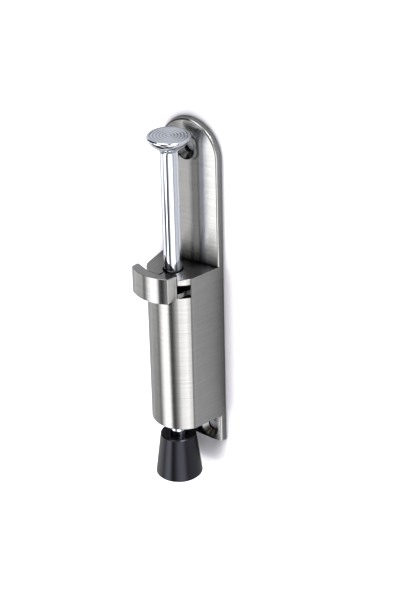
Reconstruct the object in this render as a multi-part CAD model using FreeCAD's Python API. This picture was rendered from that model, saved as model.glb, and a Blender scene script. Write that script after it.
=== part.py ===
import FreeCAD, Part
import math
import os

# Spring door stop, sizes in millimetres.
# Origin: middle of the flat back of the plate.
# +X is the viewer's right, +Y goes into the door, +Z is up.

# back plate
plate_front_width = 32.7
plate_edge_thickness = 2.9
plate_dome_rise = 1.3
plate_edge_round = 1.2
plate_foot_bevel = 0.6
plate_below_housing = 14.3

# plunger axis, measured out from the back of the plate
axis_offset = 16.0

# housing
housing_top_below_plate_top = 70.5
housing_height = 81.2
housing_arc_radius = 15.25
housing_arc_half_angle_deg = 62.7
housing_front_wall = 3.25
housing_corner_radius = 6.0
housing_top_round = 0.35
housing_bottom_chamfer = 0.5
top_wall = 2.8

# clearances round the plunger rod
rod_hole_clearance = 0.75
rod_running_clearance = 0.06
spring_to_rod = 1.1
spring_to_bore = 1.05
collar_to_bore = 0.4

# ledge that stops the collar, and the pocket above it
ledge_thickness = 2.5
ledge_below_latch = 0.8
pocket_wider_than_bore = 1.1

# rib and screw holes
rib_base_width = 12.0
rib_front_width = 7.7
rib_height = 1.2
boss_height = 0.8
boss_rim = 1.1
boss_draft = 0.25
screw_hole_radius = 2.7
countersink_radius = 5.2
countersink_lip = 0.25
top_screw_below_plate_top = 14.0
bottom_screw_above_plate_bottom = 6.3
bottom_screw_spacing = 19.0

# latch lever: places across are measured from the plunger axis,
# waist and tip out from the housing's flank and in from the flat
latch_height = 12.95
latch_tip_out = 8.8
latch_tip_in = 3.3
latch_waist_out = 4.5
latch_waist_in = 1.75
latch_waist_round = 4.0
latch_arc_radius = 19.8
latch_arc_x = -5.5
latch_proud = 2.45
latch_end_x = 5.1
latch_end_lean_deg = 15.3
latch_neck_x = -1.0
latch_corner_round = 0.5
latch_tip_round = 0.9
latch_edge_round = 0.25
latch_tilt_deg = 2.6

# gripping plate at the foot of the latch: its edge behind the window runs on
# from the latch's end face, and steps in where the window no longer shows it
grip_thickness = 3.5
grip_to_pocket = 0.4
grip_rod_clearance = 0.35
grip_edge_length = 9.1
grip_edge_step = 1.0

# gaps round the latch
latch_flat_gap = 0.12
latch_wall_gap = 0.3
latch_floor_gap = 0.2
latch_swing_gap = 0.1
latch_ramp_gap = 0.2

# fulcrum ridge that the latch rocks on
fulcrum_x = 5.9
fulcrum_axis_below_latch = 0.25
fulcrum_radius = 0.8
fulcrum_length = 7.0
fulcrum_clearance = 0.1

# notch in the housing for the latch
notch_flat_depth = 2.45
notch_wall_deg = -45.9
notch_wall_offset = 1.1
notch_ramp_deg = 52.0

# window in the right-hand wall
window_below_top = 9.6
window_jamb_deg = -20.8
window_jamb_offset = 1.65

# plunger rod and head
rod_radius = 4.25
head_above_housing_top = 67.1
head_radius = 10.1
head_rim = 1.1
head_belly_radius = 8.5
head_belly_drop = 3.7
head_waist_radius = 6.0
head_waist_drop = 5.7
head_neck_radius = 4.9
head_neck_drop = 6.5
head_height = 7.9
head_edge_round = 1.0
head_root_step = 0.1
ridge_pitch = 1.45
ridge_depth = 0.3
ridge_count = 6
ridge_centre_flat = 0.6
spigot_radius = 2.9
spigot_length = 5.0
socket_clearance = 0.05

# collar on the rod
collar_to_ledge = 0.1
collar_thickness = 2.0

# guide bush, and the ring under it
bush_length = 4.0
bush_chamfer = 0.3
ring_thickness = 1.0
ring_groove_depth = 0.7
ring_width = 1.95
ring_gap_width = 3.6
ring_above_bottom = 1.0
ring_play = 0.05

# return spring
spring_wire_radius = 0.55
spring_turns = 13.0
spring_end_gap = 0.05

# latch spring
small_wire_radius = 0.2
small_mean_radius = 0.95
small_turns = 4.5
small_spring_x = -7.2
small_pocket_clearance = 0.15
small_pocket_depth = 1.9

# rubber foot
foot_below_housing = 8.2
foot_height = 22.4
foot_top_radius = 8.6
foot_bottom_radius = 11.3
foot_edge_round = 0.5
foot_socket_depth = 11.6
foot_recess_depth = 6.0
foot_recess_clearance = 0.3

# screw and washer that hold the foot
washer_thickness = 0.8
washer_radius = 4.9
washer_clearance = 0.15
screw_shank_radius = 2.0
screw_grip_length = 11.0
screw_bore_spare = 1.0
screw_head_radius = 3.6
screw_head_height = 2.4
screw_head_round = 0.9
cross_width = 1.0
cross_length = 4.4
cross_depth = 1.4

# how far joined pieces reach into each other, and cutters past a face
embed = 0.5
past = 1.0

# levels and positions that follow from the sizes above
plate_height = housing_top_below_plate_top + housing_height + plate_below_housing
plate_top_z = plate_height / 2.0
plate_bottom_z = -plate_height / 2.0
plate_edge_y = -plate_edge_thickness
plate_front_y = plate_edge_y - plate_dome_rise
plate_edge_x = plate_front_width / 2.0
dome_radius = (plate_edge_x ** 2 + plate_dome_rise ** 2) / (2.0 * plate_dome_rise)
axis_y = -axis_offset
top_z = plate_top_z - housing_top_below_plate_top
bottom_z = top_z - housing_height

spring_mean_radius = rod_radius + spring_to_rod + spring_wire_radius
bore_radius = spring_mean_radius + spring_wire_radius + spring_to_bore
rod_hole_radius = rod_radius + rod_hole_clearance
pocket_radius = bore_radius + pocket_wider_than_bore
grip_radius = pocket_radius - grip_to_pocket
grip_hole_radius = rod_radius + grip_rod_clearance
collar_radius = bore_radius - collar_to_bore

# plan of the housing and latch, measured from the plunger axis
nose_y = -(bore_radius + housing_front_wall)
arc_centre_y = nose_y + housing_arc_radius
corner_x = housing_arc_radius * math.sin(math.radians(housing_arc_half_angle_deg))
corner_y = arc_centre_y - housing_arc_radius * math.cos(math.radians(housing_arc_half_angle_deg))
side_flare = (plate_edge_x - corner_x) / (plate_edge_y - axis_y - corner_y)
notch_flat_y = nose_y + notch_flat_depth
latch_flat_y = notch_flat_y - latch_flat_gap
latch_root_x = -math.sqrt(housing_arc_radius ** 2 - (arc_centre_y - latch_flat_y) ** 2)
latch_arc_y = nose_y - latch_proud + latch_arc_radius
latch_waist_x = latch_root_x - latch_waist_out
latch_waist_y = latch_flat_y + latch_waist_in
latch_tip_x = latch_root_x - latch_tip_out
latch_tip_back_y = latch_flat_y + latch_tip_in

latch_bottom_z = top_z - latch_height
fulcrum_z = latch_bottom_z - fulcrum_axis_below_latch
tilt_slope = math.tan(math.radians(latch_tilt_deg))
ledge_top_z = latch_bottom_z - (fulcrum_x + grip_radius) * tilt_slope - ledge_below_latch
ledge_bottom_z = ledge_top_z - ledge_thickness
latch_swing = (top_z - fulcrum_z) * tilt_slope

collar_top_z = ledge_bottom_z - collar_to_ledge
collar_bottom_z = collar_top_z - collar_thickness
groove_bottom_z = bottom_z + ring_above_bottom
groove_top_z = groove_bottom_z + ring_thickness + 2.0 * ring_play
bush_top_z = groove_top_z + bush_length

head_top_z = top_z + head_above_housing_top
head_base_z = head_top_z - head_height
foot_top_z = bottom_z - foot_below_housing
foot_bottom_z = foot_top_z - foot_height
rod_end_z = foot_top_z - foot_socket_depth

top_screw_z = plate_top_z - top_screw_below_plate_top
bottom_screw_z = plate_bottom_z + bottom_screw_above_plate_bottom

up = FreeCAD.Vector(0, 0, 1)
front_to_back = FreeCAD.Vector(0, 1, 0)
to_viewer = FreeCAD.Vector(0, -1, 0)


def side_x(y):
    """Half width of plate and housing at a depth."""
    return plate_edge_x + side_flare * (y - plate_edge_y)


def at_axis(x, y, z):
    """Point given in plan from the plunger axis."""
    return FreeCAD.Vector(x, axis_y + y, z)


def on_ray(angle_deg, offset, reach):
    """Point in plan on a line that passes the plunger axis at an offset."""
    angle = math.radians(angle_deg)
    x = reach * math.cos(angle) - offset * math.sin(angle)
    y = reach * math.sin(angle) + offset * math.cos(angle)
    return x, y


def crossing(start_a, way_a, start_b, way_b):
    """Point where two lines in plan meet."""
    spread = way_a[0] * way_b[1] - way_a[1] * way_b[0]
    dx = start_b[0] - start_a[0]
    dy = start_b[1] - start_a[1]
    reach = (dx * way_b[1] - dy * way_b[0]) / spread
    return start_a[0] + reach * way_a[0], start_a[1] + reach * way_a[1]


def face_of(corners):
    return Part.Face(Part.makePolygon(corners + [corners[0]]))


def plan_prism(plan_points, z_low, z_high):
    corners = [at_axis(x, y, z_low) for x, y in plan_points]
    return face_of(corners).extrude(FreeCAD.Vector(0, 0, z_high - z_low))


def axis_cylinder(radius, z_low, z_high):
    return Part.makeCylinder(radius, z_high - z_low, at_axis(0, 0, z_low), up)


def axis_ring(outer, inner, z_low, z_high):
    ring = axis_cylinder(outer, z_low, z_high)
    return ring.cut(axis_cylinder(inner, z_low - past, z_high + past))


def turned(profile_points):
    """Solid of revolution about the plunger axis from radius and level pairs."""
    corners = [at_axis(radius, 0, level) for radius, level in profile_points]
    return face_of(corners).revolve(at_axis(0, 0, 0), up, 360)


def edges_at_level(shape, level):
    found = []
    for edge in shape.Edges:
        box = edge.BoundBox
        if abs(box.ZMin - level) < 0.001 and abs(box.ZMax - level) < 0.001:
            found.append(edge)
    return found


def upright_edges_at(shape, x, y):
    """Upright edges over one point of the plan."""
    found = []
    for edge in shape.Edges:
        box = edge.BoundBox
        upright = box.ZLength > 1.0 and box.XLength < 0.01 and box.YLength < 0.01
        if upright and math.hypot(box.Center.x - x, box.Center.y - axis_y - y) < 0.1:
            found.append(edge)
    return found


def save(shape, node):
    shape.removeSplitter().exportStep(os.path.join("parts", node + ".step"))


def dome_y(x):
    """Depth of the plate's gently domed front at a distance from its middle."""
    return plate_front_y + dome_radius - math.sqrt(dome_radius ** 2 - x ** 2)


def plate_half_section(z):
    """Right half of the plate's section: domed front, rounded edge, flared side."""
    lean = math.asin(plate_edge_x / dome_radius)
    to_middle = FreeCAD.Vector(-math.cos(lean), -math.sin(lean), 0)
    to_back = FreeCAD.Vector(side_flare, 1, 0).normalize()
    half_angle = to_middle.getAngle(to_back) / 2.0
    reach = plate_edge_round / math.tan(half_angle)
    inward = (to_middle + to_back).normalize()
    corner = FreeCAD.Vector(plate_edge_x, plate_edge_y, z)
    round_centre = corner + inward * (plate_edge_round / math.sin(half_angle))
    round_middle = round_centre - inward * plate_edge_round
    dome_end_x = plate_edge_x + reach * to_middle.x
    dome_start = FreeCAD.Vector(0, plate_front_y, z)
    dome_middle = FreeCAD.Vector(dome_end_x / 2.0, dome_y(dome_end_x / 2.0), z)
    dome_end = FreeCAD.Vector(dome_end_x, dome_y(dome_end_x), z)
    side_start = corner + to_back * reach
    side_end = FreeCAD.Vector(side_x(0.0), 0, z)
    back_middle = FreeCAD.Vector(0, 0, z)
    return Part.Face(Part.Wire([
        Part.Arc(dome_start, dome_middle, dome_end).toShape(),
        Part.Arc(dome_end, round_middle, side_start).toShape(),
        Part.makeLine(side_start, side_end),
        Part.makeLine(side_end, back_middle),
        Part.makeLine(back_middle, dome_start),
    ]))


def make_plate():
    """Plate with a half-round head: one section, drawn down and turned over the top."""
    arch_z = plate_top_z - side_x(0.0)
    section = plate_half_section(arch_z)
    right_half = section.extrude(FreeCAD.Vector(0, 0, plate_bottom_z - arch_z))
    left_half = right_half.mirror(FreeCAD.Vector(0, 0, 0), FreeCAD.Vector(1, 0, 0))
    head = section.revolve(FreeCAD.Vector(0, 0, arch_z), to_viewer, 180)
    plate = right_half.fuse(left_half).fuse(head)
    cut_x = -2.0 * plate_edge_x
    bevel_cut = face_of([
        FreeCAD.Vector(cut_x, plate_front_y - past, plate_bottom_z - past),
        FreeCAD.Vector(cut_x, plate_front_y + plate_foot_bevel + past, plate_bottom_z - past),
        FreeCAD.Vector(cut_x, plate_front_y - past, plate_bottom_z + plate_foot_bevel + past),
    ])
    return plate.cut(bevel_cut.extrude(FreeCAD.Vector(-2.0 * cut_x, 0, 0)))


def make_housing_block():
    root_y = plate_edge_y / 2.0
    right_front = at_axis(corner_x, corner_y, bottom_z)
    left_front = at_axis(-corner_x, corner_y, bottom_z)
    nose = at_axis(0, nose_y, bottom_z)
    right_back = FreeCAD.Vector(side_x(root_y), root_y, bottom_z)
    left_back = FreeCAD.Vector(-side_x(root_y), root_y, bottom_z)
    outline = Part.Wire([
        Part.Arc(left_front, nose, right_front).toShape(),
        Part.makeLine(right_front, right_back),
        Part.makeLine(right_back, left_back),
        Part.makeLine(left_back, left_front),
    ])
    block = Part.Face(outline).extrude(FreeCAD.Vector(0, 0, housing_height))
    corners = upright_edges_at(block, corner_x, corner_y)
    corners += upright_edges_at(block, -corner_x, corner_y)
    block = block.makeFillet(housing_corner_radius, corners)
    top_rim = [e for e in edges_at_level(block, top_z) if e.BoundBox.YMin < root_y - 0.5]
    block = block.makeFillet(housing_top_round, top_rim)
    foot_rim = [e for e in edges_at_level(block, bottom_z) if e.BoundBox.YMin < root_y - 0.5]
    return block.makeChamfer(housing_bottom_chamfer, foot_rim)


def make_rib():
    """Raised bar with sloping sides from the housing up to the top screw."""
    low_z = top_z - embed
    side_slope = (rib_base_width - rib_front_width) / 2.0 / rib_height
    root_half = rib_base_width / 2.0 + side_slope * embed
    root_y = plate_front_y + embed
    front_y = plate_front_y - rib_height
    corners = [
        FreeCAD.Vector(-root_half, root_y, low_z),
        FreeCAD.Vector(root_half, root_y, low_z),
        FreeCAD.Vector(rib_front_width / 2.0, front_y, low_z),
        FreeCAD.Vector(-rib_front_width / 2.0, front_y, low_z),
    ]
    return face_of(corners).extrude(FreeCAD.Vector(0, 0, top_screw_z - low_z))


def make_boss():
    """Low round boss under the top screw."""
    front_radius = countersink_radius + boss_rim
    height = boss_height + embed
    root_radius = front_radius + boss_draft * height / boss_height
    base = FreeCAD.Vector(0, plate_front_y + embed, top_screw_z)
    return Part.makeCone(root_radius, front_radius, height, base, to_viewer)


def screw_cutter(x, z, face_y):
    """Countersink with a short straight lip, and the clearance hole behind it."""
    reach = rib_height + past
    cone_depth = countersink_radius - screw_hole_radius
    lip_start = FreeCAD.Vector(x, face_y - reach, z)
    lip = Part.makeCylinder(countersink_radius, reach + countersink_lip, lip_start, front_to_back)
    cone_start = FreeCAD.Vector(x, face_y + countersink_lip, z)
    cone = Part.makeCone(countersink_radius, screw_hole_radius, cone_depth, cone_start, front_to_back)
    hole_start = FreeCAD.Vector(x, face_y, z)
    hole = Part.makeCylinder(screw_hole_radius, past - face_y, hole_start, front_to_back)
    return lip.fuse(cone).fuse(hole)


def latch_front_y(x):
    """Round front of the latch at a given x."""
    return latch_arc_y - math.sqrt(latch_arc_radius ** 2 - (x - latch_arc_x) ** 2)


def latch_end_line():
    """Flat right-hand end of the latch: a point and a direction in plan."""
    lean = math.radians(latch_end_lean_deg)
    return (latch_end_x, latch_front_y(latch_end_x)), (math.sin(lean), math.cos(lean))


def beside_latch_end(along, out):
    """Point in plan, along the latch's end face from its front corner and out from it."""
    start, way = latch_end_line()
    return start[0] + along * way[0] + out * way[1], start[1] + along * way[1] - out * way[0]


def make_notch_ramp():
    """Slope from under the latch's end face up to the window's sill."""
    beyond = 2.0 * housing_arc_radius
    foot_z = latch_bottom_z - latch_floor_gap
    sill_z = top_z - window_below_top
    run = (sill_z - foot_z) / math.tan(math.radians(notch_ramp_deg))
    section = [
        (latch_ramp_gap, foot_z - beyond),
        (latch_ramp_gap, foot_z),
        (latch_ramp_gap + run, sill_z),
        (beyond, sill_z),
        (beyond, foot_z - beyond),
    ]
    corners = []
    for out, level in section:
        x, y = beside_latch_end(-beyond, out)
        corners.append(at_axis(x, y, level))
    end_x, end_y = beside_latch_end(beyond, 0.0)
    start_x, start_y = beside_latch_end(-beyond, 0.0)
    return face_of(corners).extrude(FreeCAD.Vector(end_x - start_x, end_y - start_y, 0))


def make_notch():
    """Room for the latch: a flat across the front and a channel in to the rod."""
    beyond = 2.0 * housing_arc_radius
    channel_x = latch_neck_x - latch_swing - latch_swing_gap
    inner = on_ray(notch_wall_deg, notch_wall_offset, rod_radius / 2.0)
    outer = on_ray(notch_wall_deg, notch_wall_offset, housing_arc_radius)
    plan = [
        inner,
        outer,
        (outer[0], -beyond),
        (-beyond, -beyond),
        (-beyond, notch_flat_y),
        (channel_x, notch_flat_y),
        (channel_x, -rod_radius / 2.0),
    ]
    notch = plan_prism(plan, ledge_bottom_z, top_z + past)
    # the floor falls away to the left a little faster than the latch tilts
    slope = 1.15 * tilt_slope
    floor_z = latch_bottom_z - latch_floor_gap
    far_y = axis_y - beyond
    below = face_of([
        FreeCAD.Vector(beyond, far_y, floor_z),
        FreeCAD.Vector(fulcrum_x, far_y, floor_z),
        FreeCAD.Vector(-beyond, far_y, floor_z - slope * (fulcrum_x + beyond)),
        FreeCAD.Vector(-beyond, far_y, floor_z - beyond),
        FreeCAD.Vector(beyond, far_y, floor_z - beyond),
    ])
    notch = notch.cut(below.extrude(FreeCAD.Vector(0, beyond, 0)))
    return notch.cut(make_notch_ramp())


def make_window():
    """Opening in the right-hand wall, whose sill falls away to the latch's foot."""
    near = on_ray(notch_wall_deg, notch_wall_offset - embed, rod_radius)
    far = on_ray(notch_wall_deg, notch_wall_offset - embed, 1.5 * housing_arc_radius)
    jamb_far = on_ray(window_jamb_deg, window_jamb_offset, 1.5 * housing_arc_radius)
    jamb_near = on_ray(window_jamb_deg, window_jamb_offset, pocket_radius - past)
    plan = [near, far, jamb_far, jamb_near]
    window = plan_prism(plan, latch_bottom_z - latch_floor_gap, top_z - top_wall)
    return window.cut(make_notch_ramp())


def make_fulcrum():
    """Round-topped ridge on the ledge, across the tongue side of the latch."""
    half = fulcrum_length / 2.0
    crest_start = at_axis(fulcrum_x, -half, fulcrum_z)
    crest = Part.makeCylinder(fulcrum_radius, fulcrum_length, crest_start, front_to_back)
    root_z = ledge_top_z - embed
    root_start = at_axis(fulcrum_x - fulcrum_radius, -half, root_z)
    root = Part.makeBox(2.0 * fulcrum_radius, fulcrum_length, fulcrum_z - root_z, root_start)
    return crest.fuse(root)


def make_body_casting():
    body = make_plate().fuse(make_housing_block()).fuse(make_rib()).fuse(make_boss())
    body = body.cut(screw_cutter(0.0, top_screw_z, plate_front_y - boss_height))
    for x in (-bottom_screw_spacing / 2.0, bottom_screw_spacing / 2.0):
        body = body.cut(screw_cutter(x, bottom_screw_z, dome_y(x)))
    body = body.cut(axis_cylinder(rod_hole_radius, ledge_bottom_z - past, top_z + past))
    body = body.cut(axis_cylinder(pocket_radius, ledge_top_z, top_z - top_wall))
    body = body.cut(axis_cylinder(bore_radius, bottom_z - past, ledge_bottom_z))
    body = body.cut(axis_cylinder(bore_radius + ring_groove_depth, groove_bottom_z, groove_top_z))
    body = body.cut(make_notch())
    body = body.cut(make_window())
    body = body.fuse(make_fulcrum())
    seat_radius = small_mean_radius + small_wire_radius + small_pocket_clearance
    seat_start = at_axis(small_spring_x, 0, ledge_top_z - small_pocket_depth)
    return body.cut(Part.makeCylinder(seat_radius, small_pocket_depth + 0.1, seat_start, up))


def make_gripping_plate():
    """Disc round the rod, cut to the plane of the latch's end face."""
    low = latch_bottom_z
    high = low + grip_thickness
    beyond = 3.0 * grip_radius
    disc = axis_cylinder(grip_radius, low, high)
    neck = plan_prism([
        (latch_neck_x, latch_flat_y - embed),
        (latch_end_x - embed, latch_flat_y - embed),
        (latch_end_x, 0.0),
        (latch_neck_x, 0.0),
    ], low, high)
    right_cut = plan_prism([
        beside_latch_end(-beyond, 0.0),
        beside_latch_end(beyond, 0.0),
        beside_latch_end(beyond, beyond),
        beside_latch_end(-beyond, beyond),
    ], low - past, high + past)
    step_cut = plan_prism([
        beside_latch_end(grip_edge_length, -grip_edge_step),
        beside_latch_end(beyond, -grip_edge_step),
        beside_latch_end(beyond, past),
        beside_latch_end(grip_edge_length, past),
    ], low - past, high + past)
    return disc.fuse(neck).cut(right_cut).cut(step_cut)


def make_latch_lever():
    low = latch_bottom_z
    wall_offset = notch_wall_offset - latch_wall_gap
    wall_start = on_ray(notch_wall_deg, wall_offset, 0.0)
    wall_end = on_ray(notch_wall_deg, wall_offset, 1.0)
    wall_way = (wall_end[0] - wall_start[0], wall_end[1] - wall_start[1])
    end_start, end_way = latch_end_line()
    end_back_x, end_back_y = crossing(end_start, end_way, wall_start, wall_way)
    rim_reach = math.sqrt(rod_hole_radius ** 2 - wall_offset ** 2)
    rim_x, rim_y = on_ray(notch_wall_deg, wall_offset, rim_reach)
    neck_rim_y = -math.sqrt(rod_hole_radius ** 2 - latch_neck_x ** 2)
    middle = math.atan2(rim_y + neck_rim_y, rim_x + latch_neck_x)
    middle_x = rod_hole_radius * math.cos(middle)
    middle_y = rod_hole_radius * math.sin(middle)

    end_front = at_axis(end_start[0], end_start[1], low)
    end_back = at_axis(end_back_x, end_back_y, low)
    rim_right = at_axis(rim_x, rim_y, low)
    rim_middle = at_axis(middle_x, middle_y, low)
    rim_left = at_axis(latch_neck_x, neck_rim_y, low)
    neck_root = at_axis(latch_neck_x, latch_flat_y, low)
    flat_end = at_axis(latch_root_x, latch_flat_y, low)
    waist = at_axis(latch_waist_x, latch_waist_y, low)
    tip_back = at_axis(latch_tip_x, latch_tip_back_y, low)
    tip_front = at_axis(latch_tip_x, latch_front_y(latch_tip_x), low)
    arc_middle = at_axis(latch_arc_x, latch_arc_y - latch_arc_radius, low)
    outline = Part.Wire([
        Part.makeLine(end_front, end_back),
        Part.makeLine(end_back, rim_right),
        Part.Arc(rim_right, rim_middle, rim_left).toShape(),
        Part.makeLine(rim_left, neck_root),
        Part.makeLine(neck_root, flat_end),
        Part.makeLine(flat_end, waist),
        Part.makeLine(waist, tip_back),
        Part.makeLine(tip_back, tip_front),
        Part.Arc(tip_front, arc_middle, end_front).toShape(),
    ])
    lever = Part.Face(outline).extrude(FreeCAD.Vector(0, 0, latch_height))
    lever = lever.makeFillet(
        latch_corner_round, upright_edges_at(lever, end_start[0], end_start[1]))
    tips = upright_edges_at(lever, latch_tip_x, latch_tip_back_y)
    tips += upright_edges_at(lever, latch_tip_x, latch_front_y(latch_tip_x))
    lever = lever.makeFillet(latch_tip_round, tips)
    waist_edges = upright_edges_at(lever, latch_waist_x, latch_waist_y)
    waist_edges += upright_edges_at(lever, latch_root_x, latch_flat_y)
    lever = lever.makeFillet(latch_waist_round, waist_edges)
    lever = lever.makeFillet(latch_edge_round, edges_at_level(lever, top_z))
    lever = lever.fuse(make_gripping_plate())
    lever = lever.cut(axis_cylinder(grip_hole_radius, low - past, top_z + past))
    groove_radius = fulcrum_radius + fulcrum_clearance
    groove_half = 2.0 * grip_radius
    groove_start = at_axis(fulcrum_x, -groove_half, fulcrum_z)
    groove = Part.makeCylinder(groove_radius, 2.0 * groove_half, groove_start, front_to_back)
    return lever.cut(groove)


def make_plunger_rod():
    rod = axis_cylinder(rod_radius, rod_end_z, head_base_z)
    rod = rod.fuse(axis_cylinder(spigot_radius, head_base_z - embed, head_base_z + spigot_length))
    bore_top = rod_end_z + screw_grip_length + screw_bore_spare
    return rod.cut(axis_cylinder(screw_shank_radius, rod_end_z - past, bore_top))


def make_step_head():
    """Mushroom head with rings cut in its top and a socket for the rod."""
    top = head_top_z
    crown = [(0.0, top)]
    for number in range(ridge_count):
        crest = ridge_centre_flat + number * ridge_pitch
        crown.append((crest, top))
        crown.append((crest + ridge_pitch / 2.0, top - ridge_depth))
    crown += [
        (ridge_centre_flat + ridge_count * ridge_pitch, top),
        (head_radius - head_edge_round, top),
    ]
    rim = [(head_radius, top - head_edge_round), (head_radius, top - head_rim)]
    socket_radius = spigot_radius + socket_clearance
    socket_top = head_base_z + spigot_length + socket_clearance
    root = [
        (rod_radius + head_root_step, head_base_z),
        (socket_radius, head_base_z),
        (socket_radius, socket_top),
        (0.0, socket_top),
        (0.0, top),
    ]
    crown_points = [at_axis(radius, 0, level) for radius, level in crown]
    rim_points = [at_axis(radius, 0, level) for radius, level in rim]
    root_points = [at_axis(radius, 0, level) for radius, level in root]
    edge_in = head_edge_round * (1.0 - math.sqrt(0.5))
    edge_middle = at_axis(head_radius - edge_in, 0, top - edge_in)
    belly = at_axis(head_belly_radius, 0, top - head_belly_drop)
    waist = at_axis(head_waist_radius, 0, top - head_waist_drop)
    neck = at_axis(head_neck_radius, 0, top - head_neck_drop)
    edges = Part.makePolygon(crown_points).Edges
    edges.append(Part.Arc(crown_points[-1], edge_middle, rim_points[0]).toShape())
    edges.append(Part.makeLine(rim_points[0], rim_points[1]))
    edges.append(Part.Arc(rim_points[1], belly, waist).toShape())
    edges.append(Part.Arc(waist, neck, root_points[0]).toShape())
    edges += Part.makePolygon(root_points).Edges
    return Part.Face(Part.Wire(edges)).revolve(at_axis(0, 0, 0), up, 360)


def make_spring_collar():
    return axis_ring(collar_radius, rod_radius, collar_bottom_z, collar_top_z)


def make_guide_bush():
    hole = rod_radius + rod_running_clearance
    bush = axis_ring(bore_radius, hole, groove_top_z, bush_top_z)
    rim = [e for e in edges_at_level(bush, bush_top_z) if e.BoundBox.XLength > 2.2 * hole]
    return bush.makeChamfer(bush_chamfer, rim)


def make_retaining_ring():
    low = groove_bottom_z + ring_play
    high = low + ring_thickness
    outer = bore_radius + ring_groove_depth - ring_play
    ring = axis_ring(outer, outer - ring_width, low, high)
    half_gap = ring_gap_width / 2.0
    gap = [(-half_gap, 0.0), (half_gap, 0.0), (half_gap, -2.0 * outer), (-half_gap, -2.0 * outer)]
    return ring.cut(plan_prism(gap, low - past, high + past))


def make_coil(mean_radius, wire_radius, turns, low, high, centre_x):
    """Open coil whose wire stays between the two levels."""
    rise = high - low - 2.0 * wire_radius
    helix = Part.makeHelix(rise / turns, rise, mean_radius)
    start = FreeCAD.Vector(mean_radius, 0, 0)
    lead = math.atan2(rise / turns, 2.0 * math.pi * mean_radius)
    heading = FreeCAD.Vector(0, math.cos(lead), math.sin(lead))
    section = Part.Wire([Part.makeCircle(wire_radius, start, heading)])
    coil = Part.Wire(helix).makePipeShell([section], True, True)
    coil.translate(at_axis(centre_x, 0, low + wire_radius))
    return coil


def make_return_spring():
    low = bush_top_z + spring_end_gap
    high = collar_bottom_z - spring_end_gap
    return make_coil(spring_mean_radius, spring_wire_radius, spring_turns, low, high, 0.0)


def make_latch_spring():
    low = ledge_top_z - small_pocket_depth + spring_end_gap
    high = latch_bottom_z - spring_end_gap
    return make_coil(small_mean_radius, small_wire_radius, small_turns, low, high, small_spring_x)


def make_rubber_foot():
    recess_radius = washer_radius + foot_recess_clearance
    recess_top = foot_bottom_z + foot_recess_depth
    hole = screw_shank_radius + washer_clearance
    return turned([
        (rod_radius, foot_top_z),
        (foot_top_radius - foot_edge_round, foot_top_z),
        (foot_top_radius, foot_top_z - foot_edge_round),
        (foot_bottom_radius, foot_bottom_z + foot_edge_round),
        (foot_bottom_radius - foot_edge_round, foot_bottom_z),
        (recess_radius, foot_bottom_z),
        (recess_radius, recess_top),
        (hole, recess_top),
        (hole, rod_end_z),
        (rod_radius, rod_end_z),
    ])


def make_foot_washer():
    high = foot_bottom_z + foot_recess_depth
    hole = screw_shank_radius + washer_clearance
    return axis_ring(washer_radius, hole, high - washer_thickness, high)


def make_foot_screw():
    seat = foot_bottom_z + foot_recess_depth - washer_thickness
    low = seat - screw_head_height
    shank = axis_cylinder(screw_shank_radius, seat - embed, rod_end_z + screw_grip_length)
    head = axis_cylinder(screw_head_radius, low, seat)
    head = head.makeFillet(screw_head_round, edges_at_level(head, low))
    screw = shank.fuse(head)
    for length, width in ((cross_length, cross_width), (cross_width, cross_length)):
        corner = at_axis(-length / 2.0, -width / 2.0, low - past)
        screw = screw.cut(Part.makeBox(length, width, cross_depth + past, corner))
    return screw


os.makedirs("parts", exist_ok=True)
save(make_body_casting(), "body_casting")
save(make_latch_lever(), "latch_lever")
save(make_latch_spring(), "latch_spring")
save(make_plunger_rod(), "plunger_rod")
save(make_step_head(), "step_head")
save(make_spring_collar(), "spring_collar")
save(make_return_spring(), "return_spring")
save(make_guide_bush(), "guide_bush")
save(make_retaining_ring(), "retaining_ring")
save(make_rubber_foot(), "rubber_foot")
save(make_foot_washer(), "foot_washer")
save(make_foot_screw(), "foot_screw")
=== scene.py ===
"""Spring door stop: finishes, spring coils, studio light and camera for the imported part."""
import math

import bpy
from mathutils import Matrix, Vector


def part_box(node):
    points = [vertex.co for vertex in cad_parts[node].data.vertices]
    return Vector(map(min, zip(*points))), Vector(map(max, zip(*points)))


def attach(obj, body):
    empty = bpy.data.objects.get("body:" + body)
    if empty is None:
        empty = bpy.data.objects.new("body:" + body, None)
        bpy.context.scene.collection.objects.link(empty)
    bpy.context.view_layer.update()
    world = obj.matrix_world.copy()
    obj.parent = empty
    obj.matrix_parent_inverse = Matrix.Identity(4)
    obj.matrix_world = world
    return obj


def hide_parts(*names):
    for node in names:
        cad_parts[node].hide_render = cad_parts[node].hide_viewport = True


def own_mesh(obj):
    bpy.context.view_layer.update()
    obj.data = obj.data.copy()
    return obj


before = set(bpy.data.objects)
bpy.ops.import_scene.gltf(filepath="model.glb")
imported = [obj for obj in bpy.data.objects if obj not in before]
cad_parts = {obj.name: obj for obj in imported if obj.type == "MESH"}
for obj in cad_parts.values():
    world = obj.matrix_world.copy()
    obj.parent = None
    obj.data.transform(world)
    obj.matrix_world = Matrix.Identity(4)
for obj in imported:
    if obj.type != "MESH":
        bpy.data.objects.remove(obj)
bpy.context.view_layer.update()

MM = 0.001
IMAGE_WIDTH = 400
IMAGE_HEIGHT = 600

# plunger axis, and the housing's top, which is level with the latch's
rod_low, rod_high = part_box("plunger_rod")
AXIS_X = (rod_low.x + rod_high.x) / 2
AXIS_Y = (rod_low.y + rod_high.y) / 2
HOUSING_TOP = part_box("latch_lever")[1].z

# the latch's flat right-hand end and the tongue behind it are cut to one plane, that leans back
LATCH_CUT_LEAN = math.radians(15.3)
LATCH_CUT_NORMAL = (math.cos(LATCH_CUT_LEAN), -math.sin(LATCH_CUT_LEAN), 0.0)

# rings turned in the step head's top
RING_PITCH_MM = 1.45
RING_CENTRE_FLAT_MM = 0.6
RING_COUNT = 6

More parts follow.
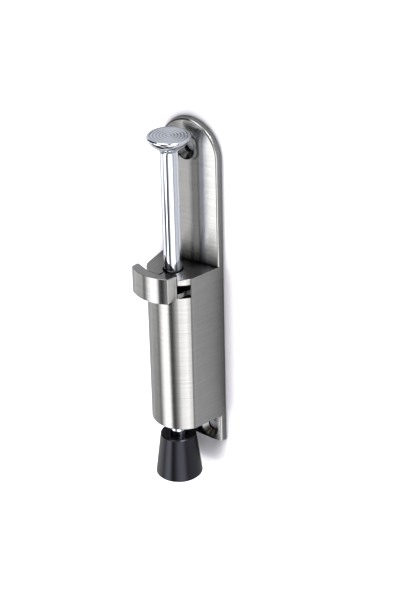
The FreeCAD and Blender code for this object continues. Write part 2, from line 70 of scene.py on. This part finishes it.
# places of the mix node's sockets
MIX_FACTOR = 0
MIX_VALUE_A = 2
MIX_VALUE_B = 3
MIX_COLOUR_A = 6
MIX_COLOUR_B = 7
MIXED_VALUE = 0
MIXED_COLOUR = 2


def hex_colour(code):
    """Linear colour from an sRGB hex value."""
    channels = []
    for start in (0, 2, 4):
        value = int(code[start:start + 2], 16) / 255
        if value <= 0.04045:
            channels.append(value / 12.92)
        else:
            channels.append(((value + 0.055) / 1.055) ** 2.4)
    return (*channels, 1.0)


def add(tree, kind, inputs=None, **settings):
    """Adds a node with its settings. A socket given as an input is linked, anything else is set."""
    made = tree.nodes.new(kind)
    for name, value in settings.items():
        setattr(made, name, value)
    for name, value in (inputs or {}).items():
        if isinstance(value, bpy.types.NodeSocket):
            tree.links.new(value, made.inputs[name])
        else:
            made.inputs[name].default_value = value
    return made


def ramp_stops(ramp_node, stops):
    """Sets a colour ramp from pairs of place and grey level or colour."""
    elements = ramp_node.color_ramp.elements
    while len(elements) > 1:
        elements.remove(elements[0])
    for number, (place, value) in enumerate(stops):
        element = elements[0] if number == 0 else elements.new(place)
        element.position = place
        element.color = value if isinstance(value, tuple) else (value, value, value, 1.0)


def new_material(name):
    """Empty material, and its node tree."""
    material = bpy.data.materials.new(name)
    material.use_nodes = True
    material.node_tree.nodes.clear()
    return material, material.node_tree


def finish_surface(tree, inputs):
    """Principled shader with its constants, linked to the output."""
    shader = add(tree, "ShaderNodeBsdfPrincipled", inputs)
    add(tree, "ShaderNodeOutputMaterial", {"Surface": shader.outputs[0]})


def upright_tangent(tree):
    """Tangent that runs up the part, and back to front on level faces."""
    upward = (0.0, 0.0, 1.0)
    # settles the direction where a face looks straight up or down
    nudge = (0.02, 0.0, 0.0)
    normal = add(tree, "ShaderNodeNewGeometry").outputs["Normal"]
    across = add(tree, "ShaderNodeVectorMath", {0: upward, 1: normal}, operation="CROSS_PRODUCT")
    across = add(tree, "ShaderNodeVectorMath", {0: across.outputs[0], 1: nudge}, operation="ADD")
    up = add(tree, "ShaderNodeVectorMath", {0: normal, 1: across.outputs[0]}, operation="CROSS_PRODUCT")
    return add(tree, "ShaderNodeVectorMath", {0: up.outputs[0]}, operation="NORMALIZE").outputs[0]


def hairlines(tree, pitch_mm, run_mm):
    """Brush marks that run level round the part: fine up and down, long across.

    Real ones are about 0.1 mm apart, too fine to show, so they are drawn wider."""
    place = add(tree, "ShaderNodeTexCoord").outputs["Object"]
    across = 1.0 / (run_mm * MM)
    along = 1.0 / (pitch_mm * MM)
    stretched = add(tree, "ShaderNodeMapping", {"Vector": place, "Scale": (across, across, along)})
    noise = add(tree, "ShaderNodeTexNoise", {
        "Vector": stretched.outputs[0], "Scale": 1.0, "Detail": 2.0, "Roughness": 0.6})
    return noise.outputs["Fac"]


def grain(tree, size_mm, detail):
    """Even noise whose marks have about the given size."""
    place = add(tree, "ShaderNodeTexCoord").outputs["Object"]
    noise = add(tree, "ShaderNodeTexNoise", {
        "Vector": place, "Scale": 1.0 / (size_mm * MM), "Detail": detail})
    return noise.outputs["Fac"]


def painted_recess_shade(tree, reach_mm, dark_at, darkest, clear_at, own_shape_only=True):
    """Painted shade: grey level that darkens the colour in corners and holes, where shade falls.

    It is darkest where the openness is dark_at, and clear from clear_at on."""
    openness = add(tree, "ShaderNodeAmbientOcclusion", {"Distance": reach_mm * MM},
                   samples=16, only_local=own_shape_only)
    shade = add(tree, "ShaderNodeValToRGB", {"Fac": openness.outputs["AO"]})
    ramp_stops(shade, [(dark_at, darkest), (clear_at, 1.0)])
    return shade.outputs["Color"]


def painted_groove_shade(tree, darkest):
    """Painted shade: grey level that darkens the colour at the bottom of the rings turned in an upper
    face.
    """
    # shares of a ring's pitch out from its crest, up to 0.5 at its bottom
    clear_until = 0.22
    darkest_from = 0.46
    least_upward = 0.7
    texture = add(tree, "ShaderNodeTexCoord")
    place = add(tree, "ShaderNodeSeparateXYZ", {0: texture.outputs["Object"]})
    off_x = add(tree, "ShaderNodeMath", {0: place.outputs["X"], 1: AXIS_X}, operation="SUBTRACT")
    off_y = add(tree, "ShaderNodeMath", {0: place.outputs["Y"], 1: AXIS_Y}, operation="SUBTRACT")
    spoke = add(tree, "ShaderNodeCombineXYZ", {"X": off_x.outputs[0], "Y": off_y.outputs[0]})
    radius = add(tree, "ShaderNodeVectorMath", {0: spoke.outputs[0]}, operation="LENGTH")
    # number of rings out from the flat centre, whole at the crest between two rings
    ring = add(tree, "ShaderNodeMapRange", {
        "Value": radius.outputs["Value"],
        "From Min": RING_CENTRE_FLAT_MM * MM,
        "From Max": (RING_CENTRE_FLAT_MM + RING_PITCH_MM) * MM,
    }, clamp=False).outputs["Result"]
    from_crest = add(tree, "ShaderNodeMath", {0: ring, 1: 0.5}, operation="PINGPONG").outputs[0]
    deep = add(tree, "ShaderNodeMapRange", {
        "Value": from_crest, "From Min": clear_until, "From Max": darkest_from,
        "To Min": 1.0, "To Max": darkest})
    outside = add(tree, "ShaderNodeMath", {0: ring, 1: float(RING_COUNT)}, operation="GREATER_THAN")
    facing = add(tree, "ShaderNodeSeparateXYZ", {0: texture.outputs["Normal"]})
    not_upper = add(tree, "ShaderNodeMath", {0: facing.outputs["Z"], 1: least_upward},
                    operation="LESS_THAN")
    plain = add(tree, "ShaderNodeMath", {0: outside.outputs[0], 1: not_upper.outputs[0]},
                operation="MAXIMUM")
    return add(tree, "ShaderNodeMath", {0: deep.outputs["Result"], 1: plain.outputs[0]},
               operation="MAXIMUM").outputs[0]


def shaded(tree, tone, shades):
    """Tone multiplied by each of the shades."""
    for shade in shades:
        tone = add(tree, "ShaderNodeVectorMath", {0: tone, 1: shade}, operation="MULTIPLY").outputs[0]
    return tone


def cut_faces(tree, normal, tone, rough):
    """Leaves the faces that look along a normal as cut, unbrushed and thinly plated.

    They are matt and pale, and painted paler still behind the housing's front, as painted light. What
    comes back is the whole piece's tone, roughness and share of metal."""
    cut_roughness = 0.62
    cut_metal_share = 0.1
    # cosines of about 14 and 6 degrees from the cut's own direction
    beside_cut = 0.97
    fully_cut = 0.995
    # depths between which the cut passes behind the housing's front
    front_end = AXIS_Y - 6.4 * MM
    back_start = AXIS_Y - 5.4 * MM
    texture = add(tree, "ShaderNodeTexCoord")
    along = add(tree, "ShaderNodeVectorMath", {0: texture.outputs["Normal"], 1: normal},
                operation="DOT_PRODUCT")
    cut = add(tree, "ShaderNodeMapRange", {
        "Value": along.outputs["Value"], "From Min": beside_cut, "From Max": fully_cut,
    }).outputs["Result"]
    place = add(tree, "ShaderNodeSeparateXYZ", {0: texture.outputs["Object"]})
    # painted light: cut faces behind the housing's front, inside its window, are painted paler to stand
    # for light that hardly reaches them
    behind = add(tree, "ShaderNodeMapRange", {
        "Value": place.outputs["Y"], "From Min": front_end, "From Max": back_start}).outputs["Result"]
    pale = add(tree, "ShaderNodeMix", {
        MIX_FACTOR: behind,
        MIX_COLOUR_A: hex_colour("BAB9B7"),
        MIX_COLOUR_B: hex_colour("F2F1EF"),
    }, data_type="RGBA").outputs[MIXED_COLOUR]
    tone = add(tree, "ShaderNodeMix", {MIX_FACTOR: cut, MIX_COLOUR_A: tone, MIX_COLOUR_B: pale},
               data_type="RGBA").outputs[MIXED_COLOUR]
    rough = add(tree, "ShaderNodeMix", {
        MIX_FACTOR: cut, MIX_VALUE_A: rough, MIX_VALUE_B: cut_roughness}).outputs[MIXED_VALUE]
    metal = add(tree, "ShaderNodeMix", {
        MIX_FACTOR: cut, MIX_VALUE_A: 1.0, MIX_VALUE_B: cut_metal_share}).outputs[MIXED_VALUE]
    return tone, rough, metal


def brushed_nickel(name, roughness, cut_normal=None):
    """Zinc casting with satin nickel plate, brushed level before plating.

    The brush marks spread reflections up and down and leave them sharp
    across, so the light boxes show as upright bands. Faces that look along
    cut_normal aren't brushed."""
    material, tree = new_material(name)
    lines = hairlines(tree, pitch_mm=0.4, run_mm=22.0)
    brushed = add(tree, "ShaderNodeValToRGB", {"Fac": lines})
    ramp_stops(brushed, [(0.3, hex_colour("AAA9A8")), (0.7, hex_colour("B8B7B6"))])
    # painted shade: the tone is darkened in recesses, and in the folds between faces, where shade falls
    tone = shaded(tree, brushed.outputs["Color"], [
        painted_recess_shade(tree, reach_mm=9.0, dark_at=0.42, darkest=0.04, clear_at=0.92),
        painted_recess_shade(tree, reach_mm=1.0, dark_at=0.94, darkest=0.55, clear_at=1.0)])
    rough = add(tree, "ShaderNodeMapRange", {
        "Value": lines, "To Min": roughness - 0.02, "To Max": roughness + 0.02}).outputs["Result"]
    metal = 1.0
    if cut_normal:
        tone, rough, metal = cut_faces(tree, cut_normal, tone, rough)
    bump = add(tree, "ShaderNodeBump", {"Height": lines, "Strength": 0.012, "Distance": 0.05 * MM})
    finish_surface(tree, {
        "Base Color": tone,
        "Metallic": metal,
        "Roughness": rough,
        "Anisotropic": 0.92,
        "Normal": bump.outputs[0],
        "Tangent": upright_tangent(tree),
    })
    return material


def bright_chrome(name, ringed=False):
    """Polished chrome plate on steel: a cool mirror, with the faint waviness of buffing.

    It is painted duller close to other pieces and at the bottom of turned rings, as painted shade."""
    material, tree = new_material(name)
    rough = add(tree, "ShaderNodeMapRange", {
        "Value": grain(tree, size_mm=9.0, detail=1.0), "To Min": 0.03, "To Max": 0.06})
    # painted shade: the chrome's colour is darkened near other pieces
    shades = [painted_recess_shade(tree, reach_mm=7.0, dark_at=0.4, darkest=0.2, clear_at=0.9,
                           own_shape_only=False)]
    if ringed:
        shades.append(painted_groove_shade(tree, darkest=0.5))
    finish_surface(tree, {
        "Base Color": shaded(tree, hex_colour("F1F5FF")[:3], shades),
        "Metallic": 1.0,
        "Roughness": rough.outputs["Result"],
    })
    return material


def black_rubber():
    """Moulded black rubber with a soft sheen, and a grain drawn coarser than its 0.1 mm to show."""
    material, tree = new_material("moulded_black_rubber")
    pores = grain(tree, size_mm=0.4, detail=3.0)
    tone = add(tree, "ShaderNodeValToRGB", {"Fac": pores})
    ramp_stops(tone, [(0.3, hex_colour("080809")), (0.7, hex_colour("0D0D0F"))])
    bump = add(tree, "ShaderNodeBump", {"Height": pores, "Strength": 0.15, "Distance": 0.02 * MM})
    finish_surface(tree, {
        "Base Color": tone.outputs["Color"],
        "Roughness": 0.24,
        "IOR": 1.5,
        "Specular Tint": hex_colour("E6E7FF"),
        "Normal": bump.outputs[0],
    })
    return material


def drawn_steel():
    """Drawn spring wire and plain steel: grey, a little oily, with soft reflections.

    Real die marks are under 0.1 mm, so they are drawn coarser to show."""
    material, tree = new_material("drawn_spring_steel")
    tone = add(tree, "ShaderNodeValToRGB", {"Fac": grain(tree, size_mm=0.6, detail=2.0)})
    ramp_stops(tone, [(0.3, hex_colour("8D8C8A")), (0.7, hex_colour("A9A8A6"))])
    finish_surface(tree, {
        "Base Color": tone.outputs["Color"],
        "Metallic": 1.0,
        "Roughness": 0.32,
    })
    return material


def turned_brass():
    """Turned brass: yellow, with reflections that tool marks soften by place.

    Real marks are about 0.1 mm apart, so they are drawn coarser to show."""
    material, tree = new_material("turned_brass")
    rough = add(tree, "ShaderNodeMapRange", {
        "Value": grain(tree, size_mm=0.5, detail=2.0), "To Min": 0.2, "To Max": 0.32})
    finish_surface(tree, {
        "Base Color": hex_colour("C9A15A"),
        "Metallic": 1.0,
        "Roughness": rough.outputs["Result"],
    })
    return material


def dress(names, material):
    """Gives the solids of these names one material."""
    for name in names:
        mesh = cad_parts[name].data
        mesh.materials.clear()
        mesh.materials.append(material)


def shortening_spring(node):
    """Coil that stands for a spring's solid, attached to the casting with its own copy of the mesh."""
    coil = bpy.data.objects.new(node + "_coil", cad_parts[node].data)
    bpy.context.scene.collection.objects.link(coil)
    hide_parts(node)
    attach(coil, "casting")
    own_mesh(coil)


def place_on_ring(degrees):
    """Place on the ring of directions round the part, from 0 to 1."""
    return (degrees + 180.0) / 360.0


def place_in_height(degrees):
    """Place between straight down and straight up, from 0 to 1."""
    return (degrees + 90.0) / 180.0


def light_card(tree, ring, height, ring_stops, height_stops):
    """Light by place on the ring and in height, each a list of degrees and level."""
    along = add(tree, "ShaderNodeValToRGB", {"Fac": ring})
    ramp_stops(along, [(place_on_ring(degrees), level) for degrees, level in ring_stops])
    across = add(tree, "ShaderNodeValToRGB", {"Fac": height})
    ramp_stops(across, [(place_in_height(degrees), level) for degrees, level in height_stops])
    return add(tree, "ShaderNodeVectorMath", {0: along.outputs["Color"], 1: across.outputs["Color"]},
               operation="MULTIPLY").outputs[0]


def round_light(tree, ray, toward, full_degrees, edge_degrees, level):
    """Soft round light about a direction, full within one angle of it and gone at another."""
    nearness = add(tree, "ShaderNodeVectorMath", {0: ray, 1: Vector(toward).normalized()},
                   operation="DOT_PRODUCT")
    lit = add(tree, "ShaderNodeMapRange", {
        "Value": nearness.outputs["Value"],
        "From Min": math.cos(math.radians(edge_degrees)),
        "From Max": math.cos(math.radians(full_degrees)),
        "To Max": level,
    }, interpolation_type="SMOOTHSTEP")
    return lit.outputs["Result"]


def places_of(tree, ray):
    """Place of each direction on the ring and in height, both from 0 to 1."""
    parts = add(tree, "ShaderNodeSeparateXYZ", {0: ray})
    front = add(tree, "ShaderNodeMath", {0: parts.outputs["Y"], 1: -1.0}, operation="MULTIPLY")
    turn = add(tree, "ShaderNodeMath", {0: parts.outputs["X"], 1: front.outputs[0]},
               operation="ARCTAN2")
    ring = add(tree, "ShaderNodeMapRange", {
        "Value": turn.outputs[0], "From Min": -math.pi, "From Max": math.pi})
    rise = add(tree, "ShaderNodeMath", {0: parts.outputs["Z"]}, operation="ARCSINE")
    height = add(tree, "ShaderNodeMapRange", {
        "Value": rise.outputs[0], "From Min": -math.pi / 2, "From Max": math.pi / 2})
    return ring.outputs["Result"], height.outputs["Result"]


def light_boxes(tree, ring, height):
    """Two tall light boxes with a dark gap between them."""
    return light_card(tree, ring, height, [
        (-180, 0.18), (-125, 0.18), (-110, 0.04), (-47, 0.04), (-41, 0.42), (-31, 1.0),
        (-6, 1.0), (-1, 0.03), (10, 0.03), (20, 0.18), (36, 0.72), (60, 0.88), (71, 0.5),
        (80, 0.14), (90, 0.17), (100, 0.11), (180, 0.13),
    ], [(-75, 0.12), (-60, 0.3), (-47, 1.0), (0, 1.0), (12, 0.03), (90, 0.02)])


def foot_card(tree, ring, height):
    """Low card at the left, brightest where the tapered foot sees it."""
    return light_card(tree, ring, height, [
        (-125, 0.0), (-112, 0.41), (-51, 0.41), (-44, 0.0),
    ], [(-46, 0.0), (-40, 0.1), (-31, 0.15), (-27, 1.0), (-15, 1.0), (-9, 0.0)])


def rod_flags(tree, ring, height):
    """Narrow dark flags that draw thin lines in the polished rod, each as the share it takes away."""
    return light_card(tree, ring, height, [
        (-54, 0.0), (-50, 0.95), (-26, 0.95), (-22, 0.0), (-12, 0.0), (-9, 0.95), (0, 0.95), (3, 0.0),
    ], [(-28.4, 0.0), (-27.4, 1.0), (-25.9, 1.0), (-24.9, 0.5), (-20, 0.0)])


def studio_world():
    """Studio light by direction, with the part upright and its back on the table.

    Degrees round the upright axis are 0 in front and 90 at the right, and
    degrees in height are 0 at the level. Each level is a share of the full
    strength. The background shows plain white."""
    full_strength = 2.75
    world = bpy.data.worlds.new("studio")
    bpy.context.scene.world = world
    world.use_nodes = True
    tree = world.node_tree
    tree.nodes.clear()
    ray = add(tree, "ShaderNodeTexCoord").outputs["Generated"]
    ring, height = places_of(tree, ray)
    boxes = light_boxes(tree, ring, height)
    card = foot_card(tree, ring, height)
    unflagged = add(tree, "ShaderNodeVectorMath", {0: (1.0, 1.0, 1.0), 1: rod_flags(tree, ring, height)},
                    operation="SUBTRACT").outputs[0]
    lit = add(tree, "ShaderNodeVectorMath", {0: boxes, 1: card}, operation="ADD").outputs[0]
    lit = add(tree, "ShaderNodeVectorMath", {0: lit, 1: unflagged}, operation="MULTIPLY").outputs[0]
    top_light = round_light(tree, ray, toward=(-0.15, -0.35, 0.92), full_degrees=14, edge_degrees=24,
                            level=1.12)
    right_light = round_light(tree, ray, toward=(0.64, -0.17, 0.75), full_degrees=10, edge_degrees=18,
                              level=3.1)
    for more in (top_light, right_light):
        lit = add(tree, "ShaderNodeVectorMath", {0: lit, 1: more}, operation="ADD").outputs[0]
    light = add(tree, "ShaderNodeBackground", {"Color": lit, "Strength": full_strength})
    white = add(tree, "ShaderNodeBackground", {"Color": hex_colour("FFFFFF"), "Strength": 1.0})
    path = add(tree, "ShaderNodeLightPath")
    shown = add(tree, "ShaderNodeMixShader", {
        0: path.outputs["Is Camera Ray"], 1: light.outputs[0], 2: white.outputs[0]})
    add(tree, "ShaderNodeOutputWorld", {"Surface": shown.outputs[0]})


def table_material():
    """Painted white table: matt and even, seen from its own side only, with the part's shadow, partly real
    and partly painted.

    It is clear where the part covers it, so that light reaches the part's back."""
    material, tree = new_material("white_table")
    # share of open sky below which the part covers the table
    covered_below = 0.04
    path = add(tree, "ShaderNodeLightPath")
    geometry = add(tree, "ShaderNodeNewGeometry")
    # painted shadow: the table that the part mirrors is painted darker near the part, besides the real
    # shade the part casts
    openness = add(tree, "ShaderNodeAmbientOcclusion", {"Distance": 40.0 * MM}, samples=8).outputs["AO"]
    tone = add(tree, "ShaderNodeValToRGB", {"Fac": openness})
    ramp_stops(tone, [(0.45, hex_colour("444444")), (0.95, hex_colour("D2D3D6"))])
    paint = add(tree, "ShaderNodeBsdfDiffuse", {"Color": tone.outputs["Color"]})
    # painted shadow: what the camera sees of the table is lifted to white less where a tilted openness
    # finds the part, so a painted shadow falls to the right and down, away from the light
    toward_light = Vector((-0.8, -0.52, 0.34)).normalized()
    painted_shadow_openness = add(tree, "ShaderNodeAmbientOcclusion", {"Distance": 16.0 * MM, "Normal": toward_light},
                   samples=16)
    glow = add(tree, "ShaderNodeMapRange", {
        "Value": painted_shadow_openness.outputs["AO"], "From Min": 0.64, "From Max": 0.96, "To Min": 0.0, "To Max": 0.8})
    # the table's diffuse white is tinted a little violet, which colours the painted shadow
    white = add(tree, "ShaderNodeBsdfDiffuse", {"Color": hex_colour("E4E2E9")})
    lift = add(tree, "ShaderNodeEmission", {
        "Color": hex_colour("FFFFFF"), "Strength": glow.outputs["Result"]})
    lifted = add(tree, "ShaderNodeAddShader", {0: white.outputs[0], 1: lift.outputs[0]})
    shown = add(tree, "ShaderNodeMixShader", {
        0: path.outputs["Is Camera Ray"], 1: paint.outputs[0], 2: lifted.outputs[0]})
    clear = add(tree, "ShaderNodeBsdfTransparent")
    covered = add(tree, "ShaderNodeMath", {0: openness, 1: covered_below}, operation="LESS_THAN")
    unseen = add(tree, "ShaderNodeMath", {0: covered.outputs[0], 1: path.outputs["Is Camera Ray"]},
                 operation="SUBTRACT")
    hidden = add(tree, "ShaderNodeMath", {0: geometry.outputs["Backfacing"], 1: unseen.outputs[0]},
                 operation="MAXIMUM")
    sided = add(tree, "ShaderNodeMixShader", {
        0: hidden.outputs[0], 1: shown.outputs[0], 2: clear.outputs[0]})
    add(tree, "ShaderNodeOutputMaterial", {"Surface": sided.outputs[0]})
    return material


def lay_table():
    """Pale floor under the back of the part, which lies on it."""
    reach = 1.5
    gap = 0.4 * MM
    corners = [(-reach, gap, -reach), (reach, gap, -reach), (reach, gap, reach), (-reach, gap, reach)]
    mesh = bpy.data.meshes.new("table")
    mesh.from_pydata(corners, [], [(0, 1, 2, 3)])
    mesh.materials.append(table_material())
    table = bpy.data.objects.new("table", mesh)
    bpy.context.scene.collection.objects.link(table)


def set_camera():
    """Camera at the photograph's angle, aimed by where it shows the rod enter the housing."""
    azimuth = math.radians(39.618)
    elevation = math.radians(29.019)
    roll = math.radians(1.433)
    focal_px = 1810.28
    distance = 0.8342
    rod_entry_px = (173.055, 268.512)
    forward = Vector((-math.sin(azimuth) * math.cos(elevation),
                      math.cos(azimuth) * math.cos(elevation), -math.sin(elevation)))
    right = Vector((math.cos(azimuth), math.sin(azimuth), 0.0))
    up = right.cross(forward)
    camera_x = math.cos(roll) * right - math.sin(roll) * up
    camera_y = math.sin(roll) * right + math.cos(roll) * up
    across = (rod_entry_px[0] - IMAGE_WIDTH / 2) / focal_px
    above = (IMAGE_HEIGHT / 2 - rod_entry_px[1]) / focal_px
    entry = Vector((AXIS_X, AXIS_Y, HOUSING_TOP))
    place = entry - distance * (across * camera_x + above * camera_y + forward)
    data = bpy.data.cameras.new("camera")
    data.sensor_width = 36.0
    data.lens = focal_px * data.sensor_width / IMAGE_HEIGHT
    data.clip_start = 0.01
    camera = bpy.data.objects.new("camera", data)
    turn = Matrix((camera_x, camera_y, -forward)).transposed()
    camera.matrix_world = Matrix.Translation(place) @ turn.to_4x4()
    bpy.context.scene.collection.objects.link(camera)
    bpy.context.scene.camera = camera


dress(["body_casting"], brushed_nickel("satin_nickel_plate_brushed", roughness=0.23))
dress(["latch_lever"], brushed_nickel("satin_nickel_plate_part_brushed", roughness=0.17,
                                      cut_normal=LATCH_CUT_NORMAL))
dress(["plunger_rod"], bright_chrome("bright_chrome_plate"))
dress(["step_head"], bright_chrome("bright_chrome_plate_ringed", ringed=True))
dress(["rubber_foot"], black_rubber())
dress(["return_spring", "latch_spring", "retaining_ring", "spring_collar", "foot_washer", "foot_screw"],
      drawn_steel())
dress(["guide_bush"], turned_brass())

shortening_spring("return_spring")
shortening_spring("latch_spring")

studio_world()
lay_table()
set_camera()
bpy.context.scene.view_settings.view_transform = "Standard"
